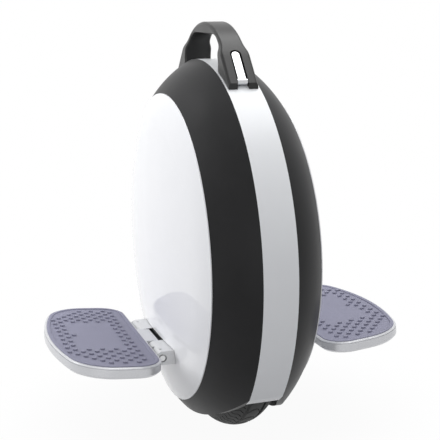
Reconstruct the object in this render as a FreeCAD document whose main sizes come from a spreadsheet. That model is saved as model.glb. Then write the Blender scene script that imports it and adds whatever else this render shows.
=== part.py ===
# Electric unicycle in millimetres: +X the way it rolls, +Y the rider's left, +Z up.
# The origin is on the floor under the axle, and the part stands on its tyre.
import FreeCAD, Part
import math
import os
from types import SimpleNamespace

import Sketcher
from FreeCAD import Placement, Rotation, Vector

# Driving dimensions, one group for each assembly
shell_sizes = {
    "body_margin": 22, "body_lift": 22, "ground_clearance": 22, "trim_margin": 58,
    "band_half": 17.2, "band_wall": 3,
    "ring_drop": 35, "ring_width": 37.6, "ring_bulge": 3, "ring_wall": 3, "ring_step": 4.6,
    "ring_ledge": 9, "panel_rise": 20, "panel_wall": 3,
    "panel_lip": 1, "panel_edge": 150, "panel_turn": 56.2, "panel_flat": 4,
    "bracket_gap": 0.8, "overrun": 10,
}
wheel_sizes = {
    "tyre_radius": 178, "tyre_half": 26.5, "tyre_wall": 4, "tyre_waist": 26, "tyre_depth": 51,
    "shoulder_drop": 7.5, "shoulder_half": 19, "crown_radius": 28, "sidewall_radius": 30,
    "groove_place": 8, "groove_half": 1.2, "groove_depth": 2,
    "bead_half": 19.8, "bead_width": 5, "bead_gap": 0.3,
    "tube_drop": 28, "tube_radius": 20, "tube_wall": 2,
    "rim_flange": 8, "rim_flange_wall": 2, "rim_well": 13, "rim_well_half": 9, "rim_seat_half": 13,
    "rim_half": 22, "rim_depth": 34.5,
    "valve_radius": 3.9, "valve_foot": 3.2, "valve_start": 3, "valve_gap": 2, "valve_level": 6.5,
    "valve_bore_gap": 0.1,
}
motor_sizes = {
    "magnet_depth": 3.4, "magnet_glue": 0.1, "magnet_half": 12, "magnet_angle": 7.8,
    "air_gap": 0.8, "stator_half": 11, "slot_depth": 24, "slot_width": 7,
    "winding_gap": 0.2, "winding_overhang": 4,
    "cover_lap": 13.5, "cover_wall": 3, "cover_boss": 4.5,
    "bearing_radius": 17.5, "bearing_start": 14, "bearing_width": 10,
    "cover_screw_inset": 7.5, "cover_screw_radius": 2, "cover_screw_depth": 12,
    "cover_head_radius": 3.6, "cover_head_height": 1.6,
    "axle_radius": 8.5, "axle_shoulder": 11, "axle_end": 16, "running_gap": 0.05, "side_play": 0.3,
    "spacer_wall": 3.5,
}
frame_sizes = {
    "liner_side_gap": 3.5, "liner_wall": 2, "liner_shoulder": 12, "liner_top_gap": 5,
    "liner_top_half": 18, "liner_drop": 38, "liner_eye": 40,
    "hanger_wall": 6, "hanger_half": 34, "hanger_edge": 2, "hanger_taper": 34,
    "bridge_gap": 3, "bridge_wall": 6, "bridge_screw_inset": 10, "bridge_screw_radius": 2,
    "bridge_screw_depth": 12, "bridge_head_radius": 3.5, "bridge_head_height": 4,
    "nut_half": 12, "nut_height": 10, "washer_radius": 14, "washer_height": 2,
    "anchor_wall": 7, "anchor_span": 104, "anchor_side_gap": 3.2, "anchor_foot_half": 16,
}
handle_sizes = {
    "handle_tilt": 3.1, "handle_rise": 38.6, "handle_slope": 1.1, "leg_wall": 36,
    "foot_rise": 6.05, "handle_foot_half": 15.2, "handle_crown_half": 12.2, "handle_rest": 0.1,
    "flare_rise": 12.5, "flare_round": 16,
    "handle_edge": 3, "gap_edge": 2.4, "crown_wall": 12, "gap_half": 59, "gap_corner": 30,
    "inlay_half": 5.8, "inlay_depth": 3, "inlay_length": 41, "inlay_gap": 0.8, "inlay_wall": 2.4,
    "inlay_bevel": 1.2,
    "barrel_radius": 3.2, "barrel_place": 3.8, "fork_length": 8,
    "handle_pin_radius": 1.5, "handle_pin_half": 12,
    "handle_screw_angle": 23, "handle_screw_radius": 3, "handle_screw_bite": 6,
    "handle_head_radius": 5, "handle_head_height": 4,
}
pedal_sizes = {
    "pin_gap": 4.6, "pin_drop": 82.5, "pin_radius": 3, "pin_recess": 0.6,
    "lug_radius": 7.3, "bracket_half": 63, "tongue_half": 23, "tongue_side_gap": 0.4,
    "tongue_heel": 9.6, "tongue_back": 8.9, "heel_gap": 0.35,
    "flange_wall": 6, "flange_drop": 24, "flange_rise": 22.5,
    "counterbore_radius": 4.3, "counterbore_depth": 4,
    "set_screw_inset": 9, "set_screw_radius": 1.6, "set_screw_recess": 1,
    "notch_inset": 22, "notch_offset": 6, "notch_radius": 2.8, "notch_depth": 7,
    "bolt_inset": 13, "bolt_margin": 8.5, "bolt_radius": 3, "bolt_head_radius": 5,
    "bolt_head_height": 5,
    "pedal_tilt": 5.4, "tread_height": 8, "pad_half": 112.6, "pad_start": 11, "pad_end": 109.2,
    "pad_inner_corner": 26, "pad_outer_corner": 44, "pad_outer_radius": 300,
    "pad_wall": 2.2, "pad_recess": 2.4, "pad_lip_height": 1, "pad_lip_width": 3.8,
    "stud_radius": 2.5, "stud_height": 1.7, "stud_inset": 15.4, "stud_column": 7.02,
    "stud_half_pitch": 7.55,
    "tray_rim": 2.4, "tray_inner_rim": 2.4, "tray_depth": 12, "tray_chamfer": 2.5, "tray_bevel": 1.2,
    "rim_line_drop": 1.5, "rim_line_height": 0.7, "rim_line_depth": 0.6,
    "tray_pocket_depth": 7, "tray_pocket_inset": 18, "tray_pocket_edge": 16.6,
    "tray_pocket_bar": 52, "tray_rib": 5,
}
power_sizes = {
    "battery_inset": 87, "battery_lift": 38, "battery_top_gap": 47, "battery_face": 2.7,
    "battery_corner": 5, "strap_half": 12, "strap_wall": 1.5, "strap_flange": 9,
    "board_front": 44, "board_inset": 75, "board_drop": 48, "board_height": 74, "board_wall": 1.6,
    "sink_depth": 12, "sink_base": 4, "fin_wall": 2,
    "capacitor_radius": 8, "capacitor_height": 11, "capacitor_inset": 14,
    "switch_angle": 133, "switch_radius": 8, "switch_flange": 9.5, "switch_depth": 20,
    "bezel_seat": 0.8, "bezel_wall": 1.4, "fitting_gap": 0.1,
    "button_radius": 6, "button_gap": 0.3, "button_proud": 1.4, "button_travel": 1.5, "button_floor": 9,
    "socket_angle": 147, "socket_radius": 8.5, "socket_depth": 19, "socket_bore": 6.5,
    "socket_bore_depth": 13, "contact_radius": 1, "contact_height": 6, "contact_circle": 3.2,
    "bezel_low": 11, "bezel_high": 17, "bezel_half": 11,
    "cap_radius": 9.2, "cap_wall": 2, "cap_gap": 0.3, "cap_hinge_place": 13.5, "cap_hinge_level": 1.9,
    "cap_knuckle_radius": 1.5, "cap_knuckle_half": 3.6, "cap_ear_gap": 0.4, "cap_ear_wall": 2.2,
    "cap_pin_radius": 0.8,
}
slot_count = 30
magnet_count = 40
cover_screw_count = 8
fin_count = 9
sides = {"left": 1, "right": -1}
# runs of studs on a pad: the column, then its first and last stud in half pitches from the middle
stud_runs = [(0, 0, 12), (1, 1, 13), (2, 8, 12), (3, 7, 13), (4, 8, 12), (5, 7, 13), (6, 8, 12), (7, 7, 11),
             (8, 0, 0), (8, 8, 10), (9, 1, 9), (10, 0, 8)]


class Size:
    # A value together with the sheet expression that gives it
    def __init__(self, value, text):
        self.value = value
        self.text = text

    def __add__(self, other):
        return Size(self.value + value_of(other), f"({self.text} + {text_of(other)})")

    def __sub__(self, other):
        return Size(self.value - value_of(other), f"({self.text} - {text_of(other)})")

    def __mul__(self, other):
        return Size(self.value * value_of(other), f"({self.text} * {text_of(other)})")

    def __truediv__(self, other):
        return Size(self.value / value_of(other), f"({self.text} / {text_of(other)})")

    def __rmul__(self, number):
        return Size(number * self.value, f"({number!r} * {self.text})")

    def __neg__(self):
        return Size(-self.value, f"(0 - {self.text})")

    def root(self):
        return Size(math.sqrt(self.value), f"sqrt({self.text})")

    def sine(self):
        # of an angle in degrees
        return Size(math.sin(math.radians(self.value)), f"sin({self.text})")


def value_of(size):
    return size.value if isinstance(size, Size) else size


def text_of(size):
    return size.text if isinstance(size, Size) else repr(size)


def leg(hypotenuse, side):
    # the other short side of a right triangle
    return (hypotenuse * hypotenuse - side * side).root()


class Place:
    # a turn, then a shift whose sizes stay bound to the sheet
    def __init__(self, x=0, y=0, z=0, turned=None):
        self.shift = {"x": x, "y": y, "z": z}
        self.turned = turned or Rotation()

    def seat(self, item, prop):
        shift = Vector(*(value_of(given) for given in self.shift.values()))
        setattr(item, prop, Placement(shift, self.turned))
        for axis, given in self.shift.items():
            if isinstance(given, Size):
                item.setExpression(f"{prop}.Base.{axis}", given.text)


doc = FreeCAD.newDocument("electric_unicycle")
sheet = doc.addObject("Spreadsheet::Sheet", "Sizes")
size = SimpleNamespace()
nodes = []


def add_size(name, content, value):
    # one line of the sheet, used everywhere by its name
    row = len(vars(size)) + 1
    sheet.set(f"A{row}", name)
    sheet.set(f"B{row}", content)
    sheet.setAlias(f"B{row}", name)
    setattr(size, name, Size(value, f"Sizes.{name}"))


def tie(name, given):
    # a size that follows from others, kept in the sheet as a formula
    add_size(name, "=" + given.text.replace("Sizes.", ""), given.value)


for group in (shell_sizes, wheel_sizes, motor_sizes, frame_sizes, handle_sizes, pedal_sizes, power_sizes):
    for name, number in group.items():
        add_size(name, str(number), number)
tie("body_radius", size.tyre_radius + size.body_margin)
tie("body_height", size.tyre_radius + size.body_lift)
tie("trim_radius", size.body_radius + size.trim_margin)
tie("panel_radius", size.body_radius - size.ring_drop)
tie("panel_seat", size.band_half + size.ring_width)
tie("bead_radius", size.tyre_radius - size.tyre_depth)
tie("rotor_radius", size.bead_radius - size.rim_depth)
tie("cover_radius", size.rotor_radius + size.cover_lap)
tie("cover_screw_circle", size.rotor_radius + size.cover_screw_inset)
tie("liner_face", size.tyre_half + size.liner_side_gap)
tie("liner_reach", size.tyre_radius - size.liner_shoulder)
tie("liner_top", size.tyre_radius + size.liner_top_gap)
tie("valve_end", size.liner_face - size.valve_gap)
tie("bridge_height", size.tyre_radius + size.liner_top + size.liner_wall + size.bridge_gap)
tie("bridge_screw_place", size.hanger_half - size.bridge_screw_inset)
tie("anchor_half", size.band_half - size.anchor_side_gap)
tie("pin_place", size.panel_seat + size.panel_rise + size.pin_gap)
tie("pin_height", size.tyre_radius - size.pin_drop)
tie("pin_half", size.bracket_half - size.pin_recess)
tie("flange_bottom", size.pin_height - size.flange_drop)
tie("flange_top", size.pin_height + size.flange_rise)
tie("hanger_bottom", size.flange_bottom - size.hanger_edge)
tie("hanger_foot_top", size.flange_top + size.hanger_edge)
tie("hanger_foot_half", size.bracket_half + size.hanger_edge)
tie("hanger_neck", size.hanger_foot_top + size.hanger_taper)
tie("bolt_place", size.bracket_half - size.bolt_inset)
tie("bolt_low", size.flange_bottom + size.bolt_margin)
tie("bolt_high", size.flange_top - size.bolt_margin)
tie("set_screw_place", size.bracket_half - size.set_screw_inset)
tie("notch_place", size.bracket_half - size.notch_inset)
tie("tray_pocket_start", size.pad_start + size.tray_pocket_inset)
tie("tray_pocket_wide", size.pad_half - size.tray_pocket_edge)
tie("battery_half", size.panel_radius - size.battery_inset)
tie("battery_bottom", size.body_height + size.battery_lift)
tie("battery_top", size.body_height + size.panel_radius - size.battery_top_gap)
tie("board_length", size.panel_radius - size.board_inset)
tie("board_bottom", size.body_height - size.board_drop)
doc.recompute()


def bind(item, prop, given):
    # set a property to a size and keep it bound to the sheet
    if isinstance(given, Size):
        item.setExpression(prop, given.text)
    else:
        setattr(item, prop, given)


def new_body(name, place=None, several=False):
    # with several, identical pieces as one node of separate solids
    body = doc.addObject("PartDesign::Body", name)
    body.Label = name
    body.AllowCompound = several
    if place is not None:
        place.seat(body, "Placement")
    nodes.append(body)
    return body


def plane_of(body, role):
    return next(item for item in body.Origin.OriginFeatures if item.Role == role)


def new_sketch(body, role, outlines, place=None, circles=()):
    sketch = body.newObject("Sketcher::SketchObject", f"{body.Name}_sketch")
    sketch.AttachmentSupport = (plane_of(body, role), [""])
    sketch.MapMode = "FlatFace"
    if place is not None:
        place.seat(sketch, "AttachmentOffset")
    for outline in outlines:
        draw(sketch, outline)
    for across, up, radius in circles:
        draw_circle(sketch, across, up, radius)
    return sketch


def hold(sketch, curve, point, across, up):
    # fix a point of a curve at its place from the origin
    for kind, axis, given in (("DistanceX", -2, across), ("DistanceY", -1, up)):
        if value_of(given) == 0:
            sketch.addConstraint(Sketcher.Constraint("PointOnObject", curve, point, axis))
        else:
            place = Sketcher.Constraint(kind, -1, 1, curve, point, value_of(given))
            number = sketch.addConstraint(place)
            sketch.setExpression(f"Constraints[{number}]", text_of(given))


def arc_between(start, end, radius):
    # the shorter arc, bulging to the left of the way from start to end for a positive radius
    way = end - start
    middle = (start + end) * 0.5
    rise = abs(radius) - math.sqrt(max(radius ** 2 - way.Length ** 2 / 4, 0))
    left = Vector(-way.y, way.x, 0).normalize()
    return Part.Arc(start, middle + left * math.copysign(rise, radius), end)


def draw(sketch, outline):
    # closed outline of corners (x, y); a third item is the radius of the arc that leaves the corner
    corners = [Vector(value_of(corner[0]), value_of(corner[1]), 0) for corner in outline]
    ends = []
    for corner, here, there in zip(outline, corners, corners[1:] + corners[:1]):
        if len(corner) == 2:
            ends.append((sketch.addGeometry(Part.LineSegment(here, there)), 1, 2))
        elif value_of(corner[2]) < 0:
            arc = arc_between(here, there, value_of(corner[2]))
            ends.append((sketch.addGeometry(arc), 1, 2))
        else:
            arc = arc_between(there, here, -value_of(corner[2]))
            ends.append((sketch.addGeometry(arc), 2, 1))
    for corner, (curve, start, end), after in zip(outline, ends, ends[1:] + ends[:1]):
        sketch.addConstraint(Sketcher.Constraint("Coincident", curve, end, after[0], after[1]))
        hold(sketch, curve, start, corner[0], corner[1])
    for corner, (curve, start, end) in zip(outline, ends):
        if len(corner) == 3:
            radius = corner[2] if value_of(corner[2]) > 0 else -corner[2]
            number = sketch.addConstraint(Sketcher.Constraint("Radius", curve, value_of(radius)))
            sketch.setExpression(f"Constraints[{number}]", text_of(radius))


def draw_circle(sketch, across, up, radius):
    centre = Vector(value_of(across), value_of(up), 0)
    curve = sketch.addGeometry(Part.Circle(centre, Vector(0, 0, 1), value_of(radius)))
    hold(sketch, curve, 3, across, up)
    number = sketch.addConstraint(Sketcher.Constraint("Radius", curve, value_of(radius)))
    sketch.setExpression(f"Constraints[{number}]", text_of(radius))


def rectangle(low_x, high_x, low_y, high_y):
    return [(low_x, low_y), (high_x, low_y), (high_x, high_y), (low_x, high_y)]


def feature(body, kind, sketch):
    item = body.newObject(f"PartDesign::{kind}", f"{body.Name}_{kind.lower()}")
    item.Profile = sketch
    return item


def turn(body, sketch):
    item = feature(body, "Revolution", sketch)
    item.ReferenceAxis = (sketch, ["V_Axis"])
    return item


def groove(body, sketch):
    item = feature(body, "Groove", sketch)
    item.ReferenceAxis = (sketch, ["V_Axis"])
    return item


def pad(body, sketch, length, both=False, backward=False):
    item = feature(body, "Pad", sketch)
    bind(item, "Length", length)
    item.SideType = "Symmetric" if both else "One side"
    item.Reversed = backward
    return item


def pocket(body, sketch, depth=None, backward=False):
    # with no depth the cut runs through the whole piece, both ways
    item = feature(body, "Pocket", sketch)
    if depth is None:
        item.Type = "ThroughAll"
        item.SideType = "Symmetric"
    else:
        bind(item, "Length", depth)
        item.Reversed = backward
    return item


def edges_where(item, wanted):
    doc.recompute()
    return [f"Edge{i}" for i, edge in enumerate(item.Shape.Edges, 1) if wanted(edge)]


def dress(body, kind, prop, base, names, given):
    item = body.newObject(f"PartDesign::{kind}", f"{body.Name}_{kind.lower()}")
    item.Base = (base, names)
    bind(item, prop, given)
    return item


# Places that several pieces share
axle_height = size.tyre_radius
hanger_face = size.liner_face + size.liner_wall
hanger_back = hanger_face + size.hanger_wall
trim_centre = size.ground_clearance + size.trim_radius - size.body_height
bead_seat = size.bead_radius
stator_radius = size.rotor_radius - size.magnet_depth - size.air_gap
at_body = Place(z=size.body_height)
at_axle = Place(z=axle_height)
at_pin = Place(z=size.pin_height)


def at_level(level):
    return Place(z=level)


def out_along(angle, start):
    # local Z out along an angle from straight up, in the side view, beginning at that radius
    turned = math.radians(angle)
    return Place(math.sin(turned) * start, 0, math.cos(turned) * start, Rotation(Vector(0, 1, 0), angle))


def radial_place(angle):
    # at the body's centre, turned so that local Z runs out along that angle of the edge band
    return Place(z=size.body_height, turned=Rotation(Vector(0, 1, 0), 90 - angle.value))


def radial_cut(body, angle, radius, start, depth):
    # round hole from the outside in, along an angle of the edge band
    place = out_along(90 - value_of(angle), start)
    return pocket(body, new_sketch(body, "XY_Plane", [], place, [(0, 0, radius)]), depth)


def side_sketch(body, side, start, outlines, circles=()):
    # sketch in the side view, on a plane at that distance out from the wheel's middle
    return new_sketch(body, "XZ_Plane", outlines, Place(z=-side * start), circles)


def side_screws(body, side, start, places, head, shank):
    # screws along the axle's way at these places: head and shank each a radius and a length
    made = []
    for (radius, length), outward in ((head, True), (shank, False)):
        circles = [place + (radius,) for place in places]
        sketch = side_sketch(body, side, start, [], circles)
        made.append(pad(body, sketch, length, backward=(side > 0) == outward))
    return made


# Shell: edge band, rings and side panels, turned about the body's centre
def make_band():
    body = new_body("centre_band", at_body)
    inside = size.body_radius - size.band_wall
    outline = rectangle(inside, size.body_radius, -size.band_half, size.band_half)
    turn(body, new_sketch(body, "XY_Plane", [outline]))
    trim_lower_edge(body)
    start = size.body_radius + size.overrun
    through = size.overrun + size.band_wall + size.overrun
    for share in (-1, 1):
        angle = 90 - size.handle_tilt.value + share * size.handle_screw_angle.value
        radial_cut(body, angle, size.handle_screw_radius, start, through)
    spot = size.overrun + size.bezel_seat
    radial_cut(body, size.switch_angle, size.switch_radius + size.fitting_gap, start, through)
    radial_cut(body, size.switch_angle, size.switch_flange + size.fitting_gap, start, spot)
    radial_cut(body, size.socket_angle, size.socket_radius + size.fitting_gap, start, through)
    gap = size.fitting_gap
    seat = rectangle(-size.bezel_low - gap, size.bezel_high + gap, -size.bezel_half - gap,
                     size.bezel_half + gap)
    place = out_along(90 - size.socket_angle.value, start)
    pocket(body, new_sketch(body, "XY_Plane", [seat], place), spot)


def trim_lower_edge(body):
    # the lower edge of the shell, an arc in the side view, where the wheel comes out
    reach = size.body_radius + size.overrun
    height = (size.trim_radius * size.trim_radius - reach * reach).root()
    low = -reach - size.overrun
    outline = [(-reach, trim_centre - height, -size.trim_radius), (reach, trim_centre - height),
               (reach, low), (-reach, low)]
    return pocket(body, new_sketch(body, "XZ_Plane", [outline]))


def make_ring(side_name, side):
    body = new_body(f"{side_name}_ring_shell", at_body)
    drop = size.body_radius - size.panel_radius
    width = size.panel_seat - size.band_half
    chord = drop * drop + width * width
    bulge = (chord / 4 + size.ring_bulge * size.ring_bulge) / (2 * size.ring_bulge)
    ledge = size.panel_radius - size.ring_ledge
    under = size.panel_seat - size.ring_wall
    outline = [
        (size.body_radius, side * size.band_half, -side * bulge),
        (size.panel_radius, side * size.panel_seat),
        (ledge, side * size.panel_seat),
        (ledge, side * under),
        (size.panel_radius - size.ring_step, side * under, side * bulge),
        (size.body_radius - size.ring_step, side * size.band_half),
    ]
    turn(body, new_sketch(body, "XY_Plane", [outline]))
    trim_lower_edge(body)


def make_panel(side_name, side):
    body = new_body(f"{side_name}_side_panel", at_body)
    # a low lip, then an edge that curves in to a flatter dome with a small flat at its middle
    seat, edge, rise, wall = size.panel_seat, size.panel_edge, size.panel_rise, size.panel_wall
    centre = size.panel_radius - size.panel_turn
    deep = leg(edge, size.panel_turn)
    span = rise - size.panel_lip + deep
    dome = (span * span + centre * centre - edge * edge) / (2 * (span - edge))
    out_share = centre / (dome - edge)
    up_share = (dome - span) / (dome - edge)
    low = size.panel_lip - deep
    inner = edge - wall
    apex = seat + rise
    flat = apex - dome + leg(dome, size.panel_flat)
    inner_flat = apex - dome + leg(dome - wall, size.panel_flat)
    outline = [
        (0, side * flat), (size.panel_flat, side * flat, side * dome),
        (centre + edge * out_share, side * (seat + low + edge * up_share), side * edge),
        (size.panel_radius, side * (seat + size.panel_lip)),
        (size.panel_radius, side * seat),
        (centre + leg(inner, low), side * seat, -side * inner),
        (centre + inner * out_share, side * (seat + low + inner * up_share), -side * (dome - wall)),
        (size.panel_flat, side * inner_flat), (0, side * inner_flat),
    ]
    turn(body, new_sketch(body, "XY_Plane", [outline]))
    half = size.bracket_half + size.bracket_gap
    reach = size.lug_radius + size.bracket_gap
    level = size.pin_height - size.body_height
    hole = rectangle(-half, half, level - reach, level + reach)
    pocket(body, new_sketch(body, "XZ_Plane", [hole]))


# Wheel: tyre, tube, rim and the turning half of the hub motor
def make_tyre():
    body = new_body("tyre", at_axle)
    waist = size.tyre_radius - size.tyre_waist
    shoulder = size.tyre_radius - size.shoulder_drop
    wall = size.tyre_wall
    inner_half = size.tyre_half - wall
    inner_shoulder = shoulder - wall
    inner_shoulder_half = size.shoulder_half - wall
    crown_inside = size.crown_radius - wall
    bead_inside = size.bead_half - size.bead_width
    bead_top = bead_seat + size.bead_width
    flange_top = bead_seat + size.rim_flange + size.bead_gap
    outline = [
        (bead_seat, size.bead_half),
        (flange_top, size.bead_half, size.sidewall_radius),
        (waist, size.tyre_half, size.sidewall_radius),
        (shoulder, size.shoulder_half, size.crown_radius),
        (shoulder, -size.shoulder_half, size.sidewall_radius),
        (waist, -size.tyre_half, size.sidewall_radius),
        (flange_top, -size.bead_half),
        (bead_seat, -size.bead_half),
        (bead_seat, -bead_inside),
        (bead_top, -bead_inside),
        (waist, -inner_half, wall - size.sidewall_radius),
        (inner_shoulder, -inner_shoulder_half, -crown_inside),
        (inner_shoulder, inner_shoulder_half, wall - size.sidewall_radius),
        (waist, inner_half),
        (bead_top, bead_inside),
        (bead_seat, bead_inside),
    ]
    turn(body, new_sketch(body, "XY_Plane", [outline]))
    # two grooves round the tread, each as deep below the crown at its place
    for share in (-1, 1):
        place = share * size.groove_place
        crown = size.tyre_radius - size.crown_radius + leg(size.crown_radius, size.groove_place)
        cut = rectangle(crown - size.groove_depth, size.tyre_radius + size.overrun,
                        place - size.groove_half, place + size.groove_half)
        groove(body, new_sketch(body, "XY_Plane", [cut]))


def make_tube():
    body = new_body("inner_tube", at_axle)
    centre = size.tyre_radius - size.tube_drop
    sketch = new_sketch(body, "XY_Plane", [], None, [
        (centre, 0, size.tube_radius), (centre, 0, size.tube_radius - size.tube_wall)])
    turn(body, sketch)


def make_rim():
    body = new_body("wheel_rim", at_axle)
    flange = bead_seat + size.rim_flange
    flange_half = size.rim_half - size.rim_flange_wall
    floor = bead_seat - size.rim_well
    outline = [
        (size.rotor_radius, -size.rim_half), (flange, -size.rim_half), (flange, -flange_half),
        (bead_seat, -flange_half), (bead_seat, -size.rim_seat_half), (floor, -size.rim_well_half),
        (floor, size.rim_well_half), (bead_seat, size.rim_seat_half), (bead_seat, flange_half),
        (flange, flange_half), (flange, size.rim_half), (size.rotor_radius, size.rim_half),
    ]
    turn(body, new_sketch(body, "XY_Plane", [outline]))
    level = floor + size.valve_level
    bore = size.valve_radius + size.valve_bore_gap
    sketch = new_sketch(body, "XZ_Plane", [], None, [(0, level, bore)])
    pocket(body, sketch, size.rim_half + size.overrun)
    drill_cover_holes(body, size.rim_half + size.overrun, size.overrun + size.cover_screw_depth
                      - size.cover_wall)


def drill_cover_holes(body, start, depth):
    # one round hole on each face, repeated round the axle
    for share in (-1, 1):
        sketch = side_sketch(body, share, start, [],
                             [(size.cover_screw_circle, 0, size.cover_screw_radius)])
        ring_of(body, [pocket(body, sketch, depth, backward=share > 0)], cover_screw_count)


def ring_of(body, originals, count):
    item = body.newObject("PartDesign::PolarPattern", f"{body.Name}_pattern")
    item.Originals = originals
    item.Axis = (plane_of(body, "Y_Axis"), [""])
    item.Angle = 360
    item.Occurrences = count
    body.Tip = item
    return item


def make_valve():
    # stem through the side of the rim, with its foot on the tube
    body = new_body("tube_valve", at_axle)
    level = bead_seat - size.rim_well + size.valve_level
    tube = size.tyre_radius - size.tube_drop
    stem = side_sketch(body, 1, size.valve_start, [], [(0, level, size.valve_radius)])
    pad(body, stem, size.valve_end - size.valve_start, backward=True)
    foot = [(0, size.valve_start + size.valve_radius, size.valve_foot)]
    pad(body, new_sketch(body, "XY_Plane", [], at_level(level), foot), tube - level)
    groove(body, new_sketch(body, "XY_Plane", [], None, [(tube, 0, size.tube_radius)]))


def make_magnets():
    # flat-ended segments round the inside of the rim
    body = new_body("motor_magnets", at_axle, several=True)
    outline = rectangle(size.rotor_radius - size.magnet_depth, size.rotor_radius - size.magnet_glue,
                        -size.magnet_half, size.magnet_half)
    segment = turn(body, new_sketch(body, "XY_Plane", [outline]))
    bind(segment, "Angle", size.magnet_angle)
    ring_of(body, [segment], magnet_count)


def make_cover(side_name, side):
    body = new_body(f"{side_name}_motor_cover", at_axle)
    outside = size.rim_half + size.cover_wall
    boss = size.bearing_radius + size.cover_boss
    outline = [
        (size.bearing_radius, side * size.bearing_start), (boss, side * size.bearing_start),
        (boss, side * size.rim_half), (size.cover_radius, side * size.rim_half),
        (size.cover_radius, side * outside), (size.bearing_radius, side * outside),
    ]
    turn(body, new_sketch(body, "XY_Plane", [outline]))
    sketch = new_sketch(body, "XZ_Plane", [], None,
                        [(size.cover_screw_circle, 0, size.cover_screw_radius)])
    ring_of(body, [pocket(body, sketch)], cover_screw_count)


def make_cover_screws():
    body = new_body("cover_screws", at_axle, several=True)
    made = []
    for side in sides.values():
        made += side_screws(body, side, size.rim_half + size.cover_wall, [(size.cover_screw_circle, 0)],
                            (size.cover_head_radius, size.cover_head_height),
                            (size.cover_screw_radius, size.cover_screw_depth))
    ring_of(body, made, cover_screw_count)


def make_bearing(side_name, side):
    body = new_body(f"{side_name}_wheel_bearing", at_axle)
    inside = size.axle_radius + size.running_gap
    end = size.bearing_start + size.bearing_width
    outline = rectangle(inside, size.bearing_radius, side * size.bearing_start, side * end)
    turn(body, new_sketch(body, "XY_Plane", [outline]))


# Fixed half of the motor and the axle
def make_axle():
    body = new_body("axle", at_axle)
    shoulder = size.bearing_start - size.side_play
    end = hanger_back + size.axle_end
    outline = [
        (0, -end), (size.axle_radius, -end), (size.axle_radius, -shoulder),
        (size.axle_shoulder, -shoulder), (size.axle_shoulder, shoulder), (size.axle_radius, shoulder),
        (size.axle_radius, end), (0, end),
    ]
    turn(body, new_sketch(body, "XY_Plane", [outline]))


def make_stator():
    body = new_body("motor_stator", at_axle)
    outline = rectangle(size.axle_shoulder, stator_radius, -size.stator_half, size.stator_half)
    turn(body, new_sketch(body, "XY_Plane", [outline]))
    half = size.slot_width / 2
    slot = rectangle(stator_radius - size.slot_depth, stator_radius + size.overrun, -half, half)
    ring_of(body, [pocket(body, new_sketch(body, "XZ_Plane", [slot]))], slot_count)


def make_windings():
    # one packed coil side in each slot of the stator
    body = new_body("motor_windings", at_axle, several=True)
    start = stator_radius - size.slot_depth
    half = size.slot_width / 2 - size.winding_gap
    outline = rectangle(start, stator_radius - 2 * size.winding_gap, -half, half)
    length = 2 * (size.stator_half + size.winding_overhang)
    coil = pad(body, new_sketch(body, "XZ_Plane", [outline]), length, both=True)
    ring_of(body, [coil], slot_count)


def make_axle_hardware():
    # on each side a spacer, then the hanger plate, a washer and a nut
    def sleeves(name, outside, start, end):
        body = new_body(name, at_axle, several=True)
        outlines = [rectangle(size.axle_radius, outside, side * start, side * end) for side in (-1, 1)]
        turn(body, new_sketch(body, "XY_Plane", outlines))

    nut_start = hanger_back + size.washer_height
    sleeves("axle_spacers", size.axle_radius + size.spacer_wall,
            size.bearing_start + size.bearing_width + size.side_play, hanger_face)
    sleeves("axle_washers", size.washer_radius, hanger_back, nut_start)
    nuts = new_body("axle_nuts", at_axle, several=True)
    half = size.nut_half
    corner = half / math.cos(math.pi / 6)
    hexagon = [(corner, 0), (corner / 2, half), (-corner / 2, half), (-corner, 0), (-corner / 2, -half),
               (corner / 2, -half)]
    for side in sides.values():
        sketch = side_sketch(nuts, side, nut_start, [hexagon], [(0, 0, size.axle_radius)])
        pad(nuts, sketch, size.nut_height, backward=side > 0)


# Frame: liners, hanger plates, top bridge and the handle's anchor
def make_liner(side_name, side):
    body = new_body(f"{side_name}_wheel_liner", at_axle)
    wall = size.liner_wall
    outline = [
        (size.liner_eye, side * size.liner_face), (size.liner_reach, side * size.liner_face),
        (size.liner_top, side * size.liner_top_half), (size.liner_top, 0),
        (size.liner_top + wall, 0), (size.liner_top + wall, side * (size.liner_top_half + wall)),
        (size.liner_reach + wall, side * hanger_face), (size.liner_eye, side * hanger_face),
    ]
    turn(body, new_sketch(body, "XY_Plane", [outline]))
    reach = size.liner_top + size.overrun
    below = rectangle(-reach, reach, -reach, -size.liner_drop)
    pocket(body, new_sketch(body, "XZ_Plane", [below]))


def make_hanger(side_name, side):
    body = new_body(f"{side_name}_hanger_plate")
    foot, half = size.hanger_foot_half, size.hanger_half
    outline = [
        (-foot, size.hanger_bottom), (foot, size.hanger_bottom), (foot, size.hanger_foot_top),
        (half, size.hanger_neck), (half, size.bridge_height), (-half, size.bridge_height),
        (-half, size.hanger_neck), (-foot, size.hanger_foot_top),
    ]
    holes = [(0, axle_height, size.axle_radius)] + [place + (size.bolt_radius,) for place in bolt_places()]
    sketch = side_sketch(body, side, hanger_face, [outline], holes)
    pad(body, sketch, size.hanger_wall, backward=side > 0)
    place = side * (hanger_face + size.hanger_wall / 2)
    screws = [(share * size.bridge_screw_place, place, size.bridge_screw_radius) for share in (-1, 1)]
    sketch = new_sketch(body, "XY_Plane", [], at_level(size.bridge_height), screws)
    pocket(body, sketch, size.bridge_screw_depth)


def bolt_places():
    return [(share * size.bolt_place, level) for share in (-1, 1)
            for level in (size.bolt_low, size.bolt_high)]


def bridge_screw_circles(radius):
    place = hanger_face + size.hanger_wall / 2
    return [(share * size.bridge_screw_place, side * place, radius) for share in (-1, 1) for side in (-1, 1)]


def make_bridge():
    body = new_body("top_bridge", at_level(size.bridge_height))
    outline = rectangle(-size.hanger_half, size.hanger_half, -hanger_back, hanger_back)
    screws = bridge_screw_circles(size.bridge_screw_radius)
    pad(body, new_sketch(body, "XY_Plane", [outline], None, screws), size.bridge_wall)


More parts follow.
